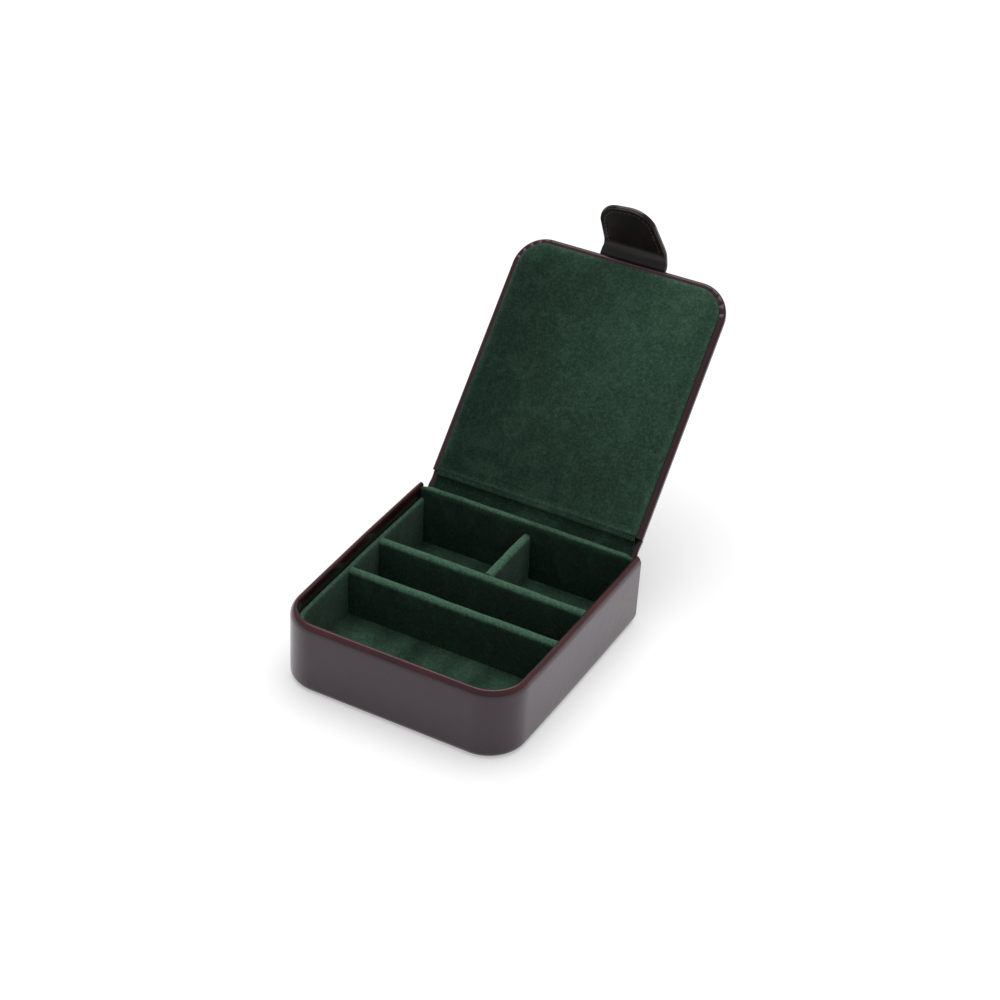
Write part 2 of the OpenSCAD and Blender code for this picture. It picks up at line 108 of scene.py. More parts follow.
class BoxLook(bpy.types.PropertyGroup):
    """Colours of the leather, the suede and the stage."""

    leather: colour("Leather", (0.0090, 0.0030, 0.0048), "Dark brown leather")
    # Redder, lighter edge colour: partly burnish, partly a painted highlight on the rim and along the tab's
    # crease.
    leather_burnish_and_highlight: colour("Leather, warm", (0.062, 0.0125, 0.0095), "Burnished edge of the leather")
    tab_inner: colour("Tab lining", (0.0045, 0.0022, 0.0026), "Leather inside the tab")
    suede: colour("Suede", (0.0030, 0.0125, 0.0075), "Suede with its nap laid down")
    # The raised colour also carries painted sheen and highlights on the pad, the lining tops and the hinge
    # folds.
    suede_light: colour("Suede, raised", (0.085, 0.180, 0.118), "Suede with its nap raised")
    thread: colour("Thread", (0.085, 0.050, 0.045), "Sewing thread")
    floor: colour("Floor", (0.90, 0.90, 0.90), "Floor under the box")


# Measures shared by several pieces, in metres, named as in the CAD source.

LEATHER_T, TURN_T, BOARD_T, SUEDE_T = 1.1 * MM, 0.7 * MM, 1.2 * MM, 0.6 * MM
WALL_T = LEATHER_T + BOARD_T + TURN_T
LINING_BACK, LINING_FACE = 3.1 * MM, 4.9 * MM
FLOOR_TOP = 3.9 * MM
REAR_Y, REAR_LEATHER_Y = 54.5 * MM, 53.4 * MM
PAD_CLEAR_Y = 50.2 * MM
REAR_FACE_Y, RIDGE_Y, RIDGE_TOP_Z = 52.0 * MM, 53.3 * MM, 31.0 * MM
DIVIDERS = {"front_divider": -5.9 * MM, "rear_divider": 17.6 * MM}
CENTRE_X = 1.5 * MM
FOLD_Y, FOLD_Z, UPPER_FOLD_Z = 53.95 * MM, 24 * MM, 35.2 * MM
SPINE_OPEN, LID_OPEN = 44, 88
BORDER_Z, LID_BOARD_Z, LID_SKIN_Z, LID_TOP_Z = 32.35 * MM, 33.05 * MM, 34.65 * MM, 35.75 * MM
LID_STACK_Y = 52.45 * MM
PAD_EDGE_T, PAD_SHOULDER = 1.2 * MM, 11 * MM
TAB_X, TAB_LEAN, TAB_BEND, TAB_BEND_R = 1.8 * MM, 7, 67, 6 * MM
TAB_FOLD = (-56.35 * MM, 34.15 * MM)
TAB_HALF_T, TAB_SKIN_D, TAB_BLEND = 0.95 * MM, 0.15 * MM, 1.3 * MM
UNDER_TURN, UNDER_FLAT = 11 * MM, 7 * MM
LINING_FOOT_Z, DIVIDER_SINK, PAD_INSET = 3.4 * MM, 0.04 * MM, 2.4 * MM
STITCH_R, STITCH_PITCH = 0.24 * MM, 1.35


# Modelling helpers.


def start():
    """Leaves nothing selected before a new piece is added."""
    if bpy.context.object and bpy.context.object.mode != "OBJECT":
        bpy.ops.object.mode_set(mode="OBJECT")
    bpy.ops.object.select_all(action="DESELECT")


def pick(*objects):
    """Selects these objects alone and makes the first one active."""
    start()
    for obj in objects:
        obj.select_set(True)
    bpy.context.view_layer.objects.active = objects[0]


def edit(obj):
    """Goes into edit mode with every vertex selected."""
    pick(obj)
    bpy.ops.object.mode_set(mode="EDIT")
    bpy.ops.mesh.select_mode(type="VERT")
    bpy.ops.mesh.select_all(action="SELECT")


def stop():
    """Goes back to object mode."""
    bpy.ops.object.mode_set(mode="OBJECT")


def pull(x=0.0, y=0.0, z=0.0):
    """Extrudes the selection by this much."""
    bpy.ops.mesh.extrude_region_move(TRANSFORM_OT_translate={"value": (x, y, z)})


def ring(name, points):
    """A circle whose vertices are set out on a closed section or plan."""
    start()
    bpy.ops.mesh.primitive_circle_add(vertices=len(points), radius=MM)
    obj = bpy.context.object
    obj.name = obj.data.name = name
    for vertex, point in zip(obj.data.vertices, points):
        vertex.co = point
    return obj


def coordinates(obj):
    co = np.zeros(len(obj.data.vertices) * 3)
    obj.data.vertices.foreach_get("co", co)
    return co.reshape(-1, 3)


def shape(obj, move):
    """Moves the mesh's vertices by a function of their coordinates."""
    obj.data.vertices.foreach_set("co", move(coordinates(obj)).ravel())
    obj.data.update()


def paint(obj, name, amount):
    """Stores how much of a finish each vertex has, from its coordinates."""
    values = np.clip(amount(coordinates(obj)), 0, 1).astype(np.float32)
    obj.data.attributes.new(name, "FLOAT", "POINT").data.foreach_set("value", values)


def modifier(obj, kind, **settings):
    """Adds a modifier and applies it."""
    pick(obj)
    m = obj.modifiers.new(kind.title(), kind)
    for key, value in settings.items():
        setattr(m, key, value)
    bpy.ops.object.modifier_apply(modifier=m.name)


def outwards(obj):
    """Merges doubles and turns every face outwards."""
    edit(obj)
    bpy.ops.mesh.remove_doubles(threshold=1e-6)
    bpy.ops.mesh.normals_make_consistent(inside=False)
    stop()


def smooth(obj, angle=40):
    """Shades the piece smooth, apart from edges sharper than this angle."""
    pick(obj)
    bpy.ops.object.shade_smooth_by_angle(angle=math.radians(angle))


def arc(c, r, a0, a1, n):
    """Points on an arc, both ends included, angles in degrees."""
    return [
        (c[0] + r * math.cos(math.radians(a0 + (a1 - a0) * i / n)),
         c[1] + r * math.sin(math.radians(a0 + (a1 - a0) * i / n)))
        for i in range(n + 1)
    ]


def ease(x):
    x = np.clip(x, 0, 1)
    return x * x * (3 - 2 * x)


def ripple(co, size, seed):
    """Slow waves over a surface, about -1 to 1, the same each run."""
    rng = np.random.default_rng(seed)
    total = np.zeros(len(co))
    for _ in range(5):
        way = rng.normal(size=3)
        way *= 2 * math.pi / (size * rng.uniform(0.7, 1.6) * np.linalg.norm(way))
        total += np.sin(co @ way + rng.uniform(0, 2 * math.pi))
    return total / 3


def turned(co, y, z, degrees):
    """Coordinates turned about a line along X."""
    a = math.radians(degrees)
    out = co.copy()
    dy, dz = co[:, 1] - y, co[:, 2] - z
    out[:, 1] = y + dy * math.cos(a) - dz * math.sin(a)
    out[:, 2] = z + dy * math.sin(a) + dz * math.cos(a)
    return out


def open_spine(co):
    return turned(co, FOLD_Y, FOLD_Z, -SPINE_OPEN)


def open_lid(co):
    return open_spine(turned(co, FOLD_Y, UPPER_FOLD_Z, -LID_OPEN))


def sweep_round(name, section, half_w, front, r, flare, y_end, steps=(16, 24, 24)):
    """Sweeps a closed section, (inwards, up) from the outer face, round the front and both sides."""
    cx = half_w - r * (1 - math.sin(flare)) / math.cos(flare)
    obj = ring(name, [(0, front + d, z) for d, z in section])
    edit(obj)
    for _ in range(steps[0]):
        pull(x=cx / steps[0])
    bpy.ops.mesh.spin(
        steps=steps[1], angle=-(math.pi / 2 - flare), center=(cx, front + r, 0), axis=(0, 0, 1)
    )
    run = (y_end - front - r) / math.cos(flare) + 3 * MM
    for _ in range(steps[2]):
        pull(x=run * math.sin(flare) / steps[2], y=run * math.cos(flare) / steps[2])
    bpy.ops.mesh.select_all(action="SELECT")
    bpy.ops.mesh.bisect(
        plane_co=(0, y_end, 0), plane_no=(0, 1, 0), use_fill=True, clear_outer=True
    )
    stop()
    modifier(obj, "MIRROR", use_axis=(True, False, False), merge_threshold=1e-5)
    outwards(obj)
    return obj


def along_x(name, section, x0, x1, steps):
    """Extrudes a closed section (y, z) along X and caps both ends."""
    obj = ring(name, [(x0, y, z) for y, z in section])
    edit(obj)
    bpy.ops.mesh.edge_face_add()
    for _ in range(steps):
        pull(x=(x1 - x0) / steps)
    stop()
    outwards(obj)
    return obj


def arch(t, h, n=14):
    """Section with square feet and a rounded top, standing at z 0."""
    side = [(t / 2, h * k / 8) for k in range(8)]
    rounded = arc((0, h - t / 2), t / 2, 0, 180, n)
    return side + rounded + [(-y, z) for y, z in reversed(side)]


def strip(path, t):
    """Closed section of a sheet of thickness t that follows a path of points (y, z) at mid-thickness."""
    p = np.array(path)
    d = np.gradient(p, axis=0)
    d /= np.linalg.norm(d, axis=1)[:, None]
    n = np.stack([d[:, 1], -d[:, 0]], 1) * t / 2
    return [tuple(q) for q in p + n] + [tuple(q) for q in (p - n)[::-1]]


def closed_plan(half_w, front, back, r, n=12):
    """Plan of a lid layer: rounded front corners, square rear corners."""
    right = arc((half_w - r, front + r), r, -90, 0, n) + [(half_w, back)]
    return right + [(-x, y) for x, y in reversed(right)]


def place(obj, body, finish, nodes=(), ends=None):
    """Gives a finished piece its material and its body, and hides the CAD nodes that it stands for.

    With ends, body is a pair; the piece is baked in place and attached to neither body, and the points in
    ends are not used.
    """
    obj.data.materials.clear()
    obj.data.materials.append(material(finish))
    if ends is None:
        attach(obj, body)
    else:
        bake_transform(obj)
    if nodes:
        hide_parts(*nodes)


# Materials.


class Value:
    """A number in a material: arithmetic on it adds the maths nodes."""

    def __init__(self, shader, socket):
        self.shader, self.socket = shader, socket

    def maths(self, operation, first, second):
        node = self.shader.add("ShaderNodeMath", {"operation": operation}, {0: first, 1: second})
        return Value(self.shader, node.outputs[0])

    def __add__(self, other):
        return self.maths("ADD", self, other)

    def __sub__(self, other):
        return self.maths("SUBTRACT", self, other)

    def __mul__(self, other):
        return self.maths("MULTIPLY", self, other)

    def __rsub__(self, other):
        return self.maths("SUBTRACT", other, self)

    __radd__ = __add__
    __rmul__ = __mul__

    def between(self, low, high):
        """0 below low, 1 above high, smooth in between."""
        node = self.shader.add(
            "ShaderNodeMapRange", {"interpolation_type": "SMOOTHSTEP"},
            {"Value": self, "From Min": low, "From Max": high},
        )
        return Value(self.shader, node.outputs[0])


class Shader:
    """One material, or the world, built from nodes."""

    def __init__(self, name, kind="materials", output="ShaderNodeOutputMaterial"):
        self.owner = getattr(bpy.data, kind).new(name)
        self.owner.use_nodes = True
        self.tree = self.owner.node_tree
        self.tree.nodes.clear()
        self.output = self.add(output)

    def add(self, kind, settings=None, inputs=None):
        """A node with its settings first, then the values or links of its sockets."""
        node = self.tree.nodes.new(kind)
        for key, value in (settings or {}).items():
            setattr(node, key, value)
        for key, value in (inputs or {}).items():
            socket = node.inputs[key]
            if isinstance(value, Value):
                value = value.socket
            if isinstance(value, bpy.types.NodeSocket):
                self.tree.links.new(value, socket)
            else:
                socket.default_value = value
        return node

    def place(self):
        return self.add("ShaderNodeTexCoord").outputs["Object"]

    def noise(self, size, detail=2.0, rough=0.5, stretch=(1, 1, 1), distortion=0.0):
        """Noise whose features are about this size in metres."""
        where = self.add("ShaderNodeMapping", None, {"Vector": self.place(), "Scale": stretch})
        node = self.add(
            "ShaderNodeTexNoise", None,
            {"Vector": where.outputs[0], "Scale": 1 / size, "Detail": detail,
             "Roughness": rough, "Distortion": distortion},
        )
        return Value(self, node.outputs["Fac"])

    def cells(self, size, smoothness=0.4):
        node = self.add(
            "ShaderNodeTexVoronoi", {"feature": "SMOOTH_F1"},
            {"Vector": self.place(), "Scale": 1 / size, "Smoothness": smoothness},
        )
        return Value(self, node.outputs["Distance"])

    def painted(self, name):
        node = self.add("ShaderNodeAttribute", {"attribute_name": name})
        return Value(self, node.outputs["Fac"])

    def mix(self, amount, a, b):
        """Colour a, turning into colour b by an amount."""
        def full(c):
            return (*c, 1) if not isinstance(c, bpy.types.NodeSocket) else c
        node = self.add("ShaderNodeMix", {"data_type": "RGBA"}, {0: amount, 6: full(a), 7: full(b)})
        return node.outputs[2]

    def bump(self, height, distance, strength=1.0, normal=None):
        inputs = {"Height": height, "Distance": distance, "Strength": strength}
        if normal is not None:
            inputs["Normal"] = normal
        return self.add("ShaderNodeBump", None, inputs).outputs[0]

    def finish(self, **inputs):
        """The shader itself, with the given sockets, their names with underscores for spaces."""
        return self.close(self.add(
            "ShaderNodeBsdfPrincipled", None, {k.replace("_", " "): v for k, v in inputs.items()}
        ))

    def close(self, node):
        """Links the last node to the output."""
        self.tree.links.new(node.outputs[0], self.output.inputs[0])
        return self.owner


def leather(look):
    """Smooth dark leather, redder and lighter along rolled edges and the tab's crease: partly burnish,
    partly a painted highlight.
    """
    s = Shader("brown_leather")
    patches = s.noise(9 * MM, 3)
    pores = s.cells(0.55 * MM)
    fine = s.noise(0.35 * MM, 3, 0.6)
    slow = s.noise(4 * MM, 2)
    wear_and_highlight = s.painted("wear_and_highlight")
    base = s.mix(patches.between(0.35, 0.7) * 0.55, look.leather, [c * 1.7 for c in look.leather])
    # Painted highlight, partly burnish: the painted mask turns the leather toward the warm edge colour.
    base = s.mix(wear_and_highlight, base, look.leather_burnish_and_highlight)
    normal = s.bump(slow, 0.25 * MM, 0.30)
    normal = s.bump(pores * 0.6 + fine * 0.5, 0.05 * MM, 0.35, normal)
    return s.finish(
        Base_Color=base, Roughness=patches * 0.10 + 0.24 - wear_and_highlight * 0.04, Normal=normal,
        IOR=1.5, Specular_Tint=(0.96, 0.76, 0.90, 1),
        Coat_Weight=0.35, Coat_Roughness=0.12, Coat_Tint=(1.0, 0.93, 0.98, 1),
    )


def tab_lining_leather(look):
    """Thin, nearly black leather inside the tab."""
    s = Shader("tab_lining_leather")
    patches = s.noise(5 * MM, 3)
    fine = s.noise(0.3 * MM, 3, 0.6)
    wear_and_highlight = s.painted("wear_and_highlight")
    base = s.mix(patches.between(0.4, 0.75) * 0.6, look.tab_inner, (0.022, 0.0075, 0.0070))
    # Painted highlight: a lighter line along the crease across the fold.
    base = s.mix(wear_and_highlight, base, (0.055, 0.030, 0.027))
    normal = s.bump(fine + s.cells(0.5 * MM) * 0.5, 0.05 * MM, 0.45)
    return s.finish(Base_Color=base, Roughness=patches * 0.15 + 0.34, Normal=normal, IOR=1.46)


def suede(look):
    """Napped suede: short fibres, brushed patches, lighter where the nap stands up and where painted sheen
    and highlights are laid on.
    """
    s = Shader("green_suede")
    fibres = s.noise(0.30 * MM, 4, 0.75)
    tufts = s.noise(1.2 * MM, 3, 0.65, distortion=0.6)
    brushed = s.noise(9 * MM, 3, 0.55, distortion=0.8)
    nap_and_sheen = s.painted("nap_and_sheen")
    texture = fibres.between(0.40, 0.70) * 0.5 + tufts.between(0.38, 0.72) * 0.5
    # Raised nap together with painted sheen and highlights from the painted mask.
    raised_and_lit = (
        texture * 0.22
        + brushed.between(0.42, 0.72) * 0.10
        + nap_and_sheen * (texture * 0.9 + 0.45)
    )
    base = s.mix(raised_and_lit, look.suede, look.suede_light)
    specks = s.noise(0.5 * MM, 1, 0.5).between(0.62, 0.74)
    base = s.mix(specks * (nap_and_sheen * 0.45 + 0.10), base, [c * 1.3 for c in look.suede_light])
    normal = s.bump(tufts, 0.35 * MM, 0.45)
    normal = s.bump(fibres, 0.22 * MM, 0.75, normal)
    return s.finish(
        Base_Color=base, Roughness=0.96, Normal=normal, Specular_IOR_Level=0.12,
        Sheen_Weight=0.35, Sheen_Roughness=0.45, Sheen_Tint=(0.45, 0.72, 0.54, 1),
    )


def thread(look):
    """Twisted thread."""
    s = Shader("sewing_thread")
    twist = s.noise(0.2 * MM, 2, stretch=(1, 4, 4))
    base = s.mix(twist, look.thread, [c * 2.0 for c in look.thread])
    return s.finish(Base_Color=base, Roughness=0.7, Normal=s.bump(twist, 0.05 * MM, 0.6))


def plain(name, pattern, dark, light, rough, depth, strength):
    """A simple material: one pattern between two colours, raised a little."""
    def made(look):
        s = Shader(name)
        marks = pattern(s)
        base = s.mix(marks, dark, light)
        return s.finish(Base_Color=base, Roughness=rough, Normal=s.bump(marks, depth, strength))
    return made


def plated_steel():
    s = Shader("magnet_steel")
    scuffs = s.noise(0.5 * MM, 3, stretch=(1, 6, 1))
    base = s.mix(scuffs, (0.55, 0.55, 0.57), (0.66, 0.66, 0.68))
    return s.finish(Base_Color=base, Metallic=1.0, Roughness=scuffs * 0.15 + 0.22)


FINISHES = {
    "leather": leather, "tab_lining": tab_lining_leather, "suede": suede, "thread": thread,
    "board": plain("grey_board", lambda s: s.noise(0.6 * MM, 4, 0.7),
                   (0.27, 0.26, 0.23), (0.42, 0.40, 0.36), 0.9, 0.05 * MM, 0.4),
    "card": plain("white_card", lambda s: s.noise(0.8 * MM, 3, 0.6),
                  (0.68, 0.65, 0.58), (0.76, 0.74, 0.68), 0.85, 0.03 * MM, 0.3),
    "foam": plain("pad_foam", lambda s: s.cells(0.7 * MM, 0.2),
                  (0.60, 0.55, 0.42), (0.82, 0.78, 0.66), 0.95, 0.2 * MM, 0.6),
    "steel": lambda look: plated_steel(),
}
MADE = {}


def material(name):
    """The material of that name, made the first time it is asked for."""
    if name not in MADE:
        MADE[name] = FINISHES[name](bpy.context.scene.box_look)
    return MADE[name]


# Tray.


def flare_of(tray):
    return math.atan(tray.rear_flare / 2 / tray.depth)


def bowed(tray):
    """Gives a swept wall the outward bow of the long sides."""
    def move(co):
        half = tray.depth / 2
        along = 1 - ((co[:, 1] - 4 * MM) / half) ** 2
        side = ease((np.abs(co[:, 0]) - 30 * MM) / (12 * MM))
        out = co.copy()
        out[:, 0] += np.sign(co[:, 0]) * side * np.clip(along, 0, 1) * tray.side_bow
        return out
    return move


def rim_measures(tray):
    """The rim's crest and roll, as in the CAD source."""
    crest = (WALL_T - tray.rim_crest_r, tray.height - tray.rim_crest_r)
    roll = math.degrees(math.acos((tray.rim_roll_r - crest[0]) / (tray.rim_roll_r - tray.rim_crest_r)))
    roll_z = crest[1] - (tray.rim_roll_r - tray.rim_crest_r) * math.sin(math.radians(roll))
    return crest, roll, roll_z


def wall_section(tray):
    """Closed section of the wall leather, (inwards, up)."""
    crest, roll, roll_z = rim_measures(tray)
    r, e = tray.rim_roll_r, tray.base_edge_r
    board_r, board_x = r - LEATHER_T, WALL_T - TURN_T
    board_a = math.degrees(math.acos((r - board_x) / board_r))
    turn_z = tray.height - 10 * MM
    wall = [(0, e + (roll_z - e) * k / 9) for k in range(1, 9)]
    inner = [(LEATHER_T, roll_z + (e - roll_z) * k / 9) for k in range(1, 9)]
    return (
        [(UNDER_TURN, 0), (UNDER_FLAT, 0)]
        + arc((e, e), e, 270, 180, 9) + wall
        + arc((r, roll_z), r, 180, 180 - roll, 10)
        + arc(crest, tray.rim_crest_r, 180 - roll, 0, 12)[1:]
        + [(WALL_T, tray.height - z * MM) for z in (3, 5, 7.5)]
        + [(WALL_T, turn_z), (board_x, turn_z)]
        + arc((r, roll_z), board_r, 180 - board_a, 180, 6) + inner
        + arc((e, e), e - LEATHER_T, 180, 270, 6)
        + [(UNDER_FLAT, LEATHER_T), (UNDER_TURN, LEATHER_T)]
    )


def rim_burnish_and_highlight(tray, co):
    """Reddish band of the rim, partly burnish and partly a painted highlight: 0 below it, 1 along its top.
    """
    return ease((co[:, 2] - tray.height + 2.3 * MM) / (1.3 * MM))


class BOX_OT_tray_leather(bpy.types.Operator):
    """Leather round the tray: the rolled wall strip and the rear wall"""

    bl_idname = "box.tray_leather"
    bl_label = "Tray leather"

    def execute(self, context):
        tray = context.scene.box_tray
        wall = sweep_round(
            "tray_wall_leather", wall_section(tray), tray.front_w / 2, -tray.depth / 2,
            tray.corner_r, flare_of(tray), REAR_LEATHER_Y, steps=(30, 30, 40),
        )
        shape(wall, bowed(tray))
        shape(wall, self.soften)
        # Painted highlight along the rim, partly burnish, wavering in strength.
        paint(wall, "wear_and_highlight", lambda co: rim_burnish_and_highlight(tray, co) * (0.70 + 0.25 * ripple(co, 25 * MM, 5)))
        smooth(wall, 50)
        place(wall, "tray", "leather", ["wall_leather"])
        self.rear(tray)
        return {"FINISHED"}

    @staticmethod
    def soften(co):
        """Slow hollows of leather over a bent board, and a rim that isn't quite level."""
        out = co.copy()
        low = ease(co[:, 2] / (4 * MM))
        swell = ripple(co * (1, 1, 0.3), 38 * MM, 3) * 0.06 * MM * low
        way = np.stack([co[:, 0], co[:, 1] - 4 * MM], 1)
        way /= np.linalg.norm(way, axis=1)[:, None]
        out[:, :2] += way * swell[:, None]
        rim = ease((co[:, 2] - 26 * MM) / (5 * MM))
        out[:, 2] += rim * ripple(co * (1, 1, 0), 46 * MM, 8) * 0.08 * MM
        return out

    def rear(self, tray):
        """The rear wall's leather: turned under the base, notched between the two rim ends."""
        e, y0, y1 = tray.base_edge_r, REAR_LEATHER_Y, REAR_Y
        heights = [k / 10 for k in range(1, 11)]
        section = (
            [(y1 - UNDER_TURN, 0), (y1 - UNDER_FLAT, 0)] + arc((y1 - e, e), e, -90, 0, 8)
            + [(y1, e + k) for k in heights] + [(y0, e + k) for k in reversed(heights)]
            + arc((y1 - e, e), e - LEATHER_T, 0, -90, 6)
            + [(y1 - UNDER_FLAT, LEATHER_T), (y1 - UNDER_TURN, LEATHER_T)]
        )
        half = (tray.front_w + tray.rear_flare) / 2
        notch = half - WALL_T - 0.05 * MM
        stations = list(np.linspace(0, notch, 12)) + [notch + 0.1 * MM] + list(
            half - WALL_T + np.array([0.4, 0.8, 1.2, 1.6, 2.0, 2.3, 2.55, 2.75, 2.9, 2.97]) * MM)
        obj = ring("tray_rear_leather", [(0, y, z) for y, z in section])
        edit(obj)
        for a, b in zip(stations, stations[1:]):
            pull(x=b - a)
        bpy.ops.mesh.edge_face_add()
        stop()
        crest, roll, roll_z = rim_measures(tray)
        r = tray.rim_roll_r

        def rim_height(inward):
            on_crest = inward > crest[0] + tray.rim_crest_r * math.cos(math.radians(180 - roll))
            over = crest[1] + np.sqrt(np.clip(
                tray.rim_crest_r ** 2 - (inward - crest[0]) ** 2, 0, None))
            roll_top = roll_z + np.sqrt(np.clip(r ** 2 - (r - inward) ** 2, 0, None))
            return np.where(on_crest, over, roll_top)

        def heights_set(co):
            out = co.copy()
            inward = half - co[:, 0]
            top = np.where(co[:, 0] <= notch + 0.01 * MM, FOLD_Z - 1.0 * MM, rim_height(inward))
            up = co[:, 2] > e + 0.05
            out[up, 2] = e + (co[up, 2] - e) * (top[up] - e)
            corner = np.clip(e - inward, 0, e)
            lift = e - np.sqrt(np.clip(e ** 2 - corner ** 2, 0, None))
            low = ~up & (co[:, 2] < e)
            out[low, 2] = co[low, 2] + lift[low] * (1 - co[low, 2] / e)
            return out

        shape(obj, heights_set)
        modifier(obj, "MIRROR", use_axis=(True, False, False), merge_threshold=1e-5)
        outwards(obj)
        # Painted highlight along the rear rim ends, partly burnish.
        paint(obj, "wear_and_highlight", lambda co: rim_burnish_and_highlight(tray, co) * 0.6)
        smooth(obj, 40)
        place(obj, "tray", "leather", ["rear_leather"])


class BOX_OT_lining(bpy.types.Operator):
    """Suede lining of the tray: the wall band, the rear wall and the floor"""

    bl_idname = "box.lining"
    bl_label = "Suede lining"

    def execute(self, context):
        tray = context.scene.box_tray
        mid, half_t = (LINING_BACK + LINING_FACE) / 2, (LINING_FACE - LINING_BACK) / 2
        top = tray.lining_h - half_t
        down = [LINING_FOOT_Z + (top - LINING_FOOT_Z) * k / 10 for k in range(10)]
        section = (
            [(LINING_BACK, z) for z in down] + arc((mid, top), half_t, 180, 0, 12)
            + [(LINING_FACE, z) for z in reversed(down)]
        )
        band = sweep_round(
            "wall_lining", section, tray.front_w / 2, -tray.depth / 2, tray.corner_r,
            flare_of(tray), REAR_FACE_Y + 0.3 * MM, steps=(30, 24, 40),
        )
        shape(band, bowed(tray))
        shape(band, lambda co: co + np.stack([
            0 * co[:, 0], 0 * co[:, 0],
            ease((co[:, 2] - 18 * MM) / (6 * MM)) * ripple(co * (1, 1, 0), 20 * MM, 21) * 0.10 * MM
        ], 1))
        # Lighter along the lining's top edge and a little towards the top: raised nap with a painted
        # highlight where light falls on it.
        paint(band, "nap_and_sheen", lambda co: 0.10 + ease((co[:, 2] - 23.8 * MM) / (1.2 * MM)) * 0.60
              + ease((co[:, 2] - 12 * MM) / (12 * MM)) * 0.08)
        smooth(band)
        place(band, "tray", "suede", ["wall_lining_suede", "wall_lining_card"])

        half = (tray.front_w + tray.rear_flare) / 2 - WALL_T - 0.02 * MM
        rear = along_x("rear_lining", self.ridge_section(), -half, half, 70)
        shape(rear, self.ridge)
        paint(rear, "nap_and_sheen", self.ridge_nap_and_highlight)
        smooth(rear)
        place(rear, "tray", "suede", ["rear_lining_suede", "rear_wall_board"])
        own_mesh(rear)
        self.floor(tray)
        return {"FINISHED"}

    @staticmethod
    def ridge_section():
        """Rear lining (y, z): a thin sheet up the wall that ends in a soft roll above the hinge leather."""
        front, back, foot = REAR_FACE_Y, REAR_FACE_Y + 0.85 * MM, LINING_FOOT_Z
        r = RIDGE_Y - REAR_FACE_Y
        shoulder = RIDGE_TOP_Z - r
        rise = [(front, foot + (shoulder - foot) * k / 12) for k in range(13)]
        roll = arc((RIDGE_Y, shoulder), r, 180, -40, 18)[1:]
        fall = [(back + 0.35 * MM, 27.5 * MM), (back + 0.1 * MM, 25.5 * MM), (back, 23 * MM), (back, foot)]
        return rise + roll + fall

    @staticmethod
    def ridge(co):
        """A roll that wavers a little and dips at both ends."""
        out = co.copy()
        high = ease((co[:, 2] - 20 * MM) / (10 * MM))
        out[:, 2] += high * (ripple(co * (1, 0, 0), 24 * MM, 31) - 0.6) * 0.10 * MM
        out[:, 1] += high * ripple(co * (1, 0, 0), 17 * MM, 32) * 0.10 * MM
        end = ease((np.abs(co[:, 0]) - 44.5 * MM) / (3.5 * MM))
        out[:, 2] -= high * end * 1.1 * MM
        return out

    @staticmethod
    def ridge_nap_and_highlight(co):
        """Lighter along the top and front of the roll, most of all at its left end: partly raised nap,
        partly a painted highlight.
        """
        top = ease((co[:, 2] - RIDGE_TOP_Z + 2.0 * MM) / (1.6 * MM))
        front = ease((RIDGE_Y + 0.8 * MM - co[:, 1]) / (1.4 * MM))
        left = np.exp(-((co[:, 0] + 43 * MM) / (2.2 * MM)) ** 2)
        return top * (0.30 + 0.45 * front + 0.3 * left + 0.12 * ripple(co * (1, 0, 0), 21 * MM, 33))

    @staticmethod
    def floor(tray):
        """A sheet of suede cut to the floor, with a slow swell."""
        start()
        bpy.ops.mesh.primitive_grid_add(x_subdivisions=70, y_subdivisions=76, size=1)
        obj = bpy.context.object
        obj.name = obj.data.name = "floor_lining"
        flare, front = flare_of(tray), -tray.depth / 2
        back = REAR_FACE_Y + 0.1 * MM
        inset = LINING_FACE - 0.25 * MM
        cx = tray.front_w / 2 - tray.corner_r * (1 - math.sin(flare)) / math.cos(flare)
        cy, r = front + tray.corner_r, tray.corner_r - inset

        def cut(co):
            out = co.copy()
            y = front + inset + (co[:, 1] + 0.5) * (back - front - inset)
            half = tray.front_w / 2 - inset + (y - front) * math.tan(flare)
            x = co[:, 0] * 2 * half
            dx, dy = np.abs(x) - cx, y - cy
            far = np.hypot(dx, dy)
            over = (dx > 0) & (dy < 0) & (far > r)
            k = np.where(over, r / np.maximum(far, 1e-9), 1)
            out[:, 0] = np.where(over, np.sign(x) * (cx + dx * k), x)
            out[:, 1] = np.where(over, cy + dy * k, y)
            out[:, 2] = FLOOR_TOP + ripple(out, 17 * MM, 41) * 0.05 * MM
            return out

        shape(obj, cut)
        modifier(obj, "SOLIDIFY", thickness=SUEDE_T - 0.08 * MM, offset=-1)
        outwards(obj)
        paint(obj, "nap_and_sheen", lambda co: 0.26 + 0.18 * ripple(co, 14 * MM, 43))
        smooth(obj)
        place(obj, "tray", "suede", ["floor_suede"])


